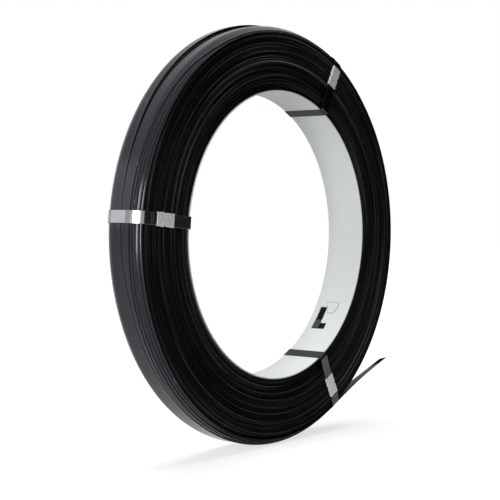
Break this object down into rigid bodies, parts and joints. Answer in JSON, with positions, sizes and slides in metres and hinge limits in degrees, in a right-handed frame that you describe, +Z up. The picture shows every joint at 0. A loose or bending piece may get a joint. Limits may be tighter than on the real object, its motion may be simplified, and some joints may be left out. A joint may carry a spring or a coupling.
{
  "type": "steel strapping coil",
  "caption": "Ring-shaped coil of black steel strap on a white liner, bound by steel ties with crimped seals, with its outer end springing free.",
  "frame": {"origin": "centre of the liner's bore, halfway between the coil's two sides", "axes": "Y along the bore's axis with the seals' side facing -Y, +Z up as the coil stands on its rim, +X to the right seen from the seals' side"},
  "size_m": [0.5941, 0.0686, 0.594],
  "materials": {
    "black_strap": "black painted and waxed steel, satin",
    "tie_steel": "blued steel, half bright",
    "seal_zinc": "galvanised, mottled",
    "liner_board": "white coated board, matte"
  },
  "bodies": {
    "root": {"strap_coil": "black_strap", "core_liner": "liner_board", "tie_left": "tie_steel", "tie_upper": "tie_steel", "tie_lower": "tie_steel", "seal_left": "seal_zinc", "seal_upper": "seal_zinc", "seal_lower": "seal_zinc"}
  },
  "joints": []
}
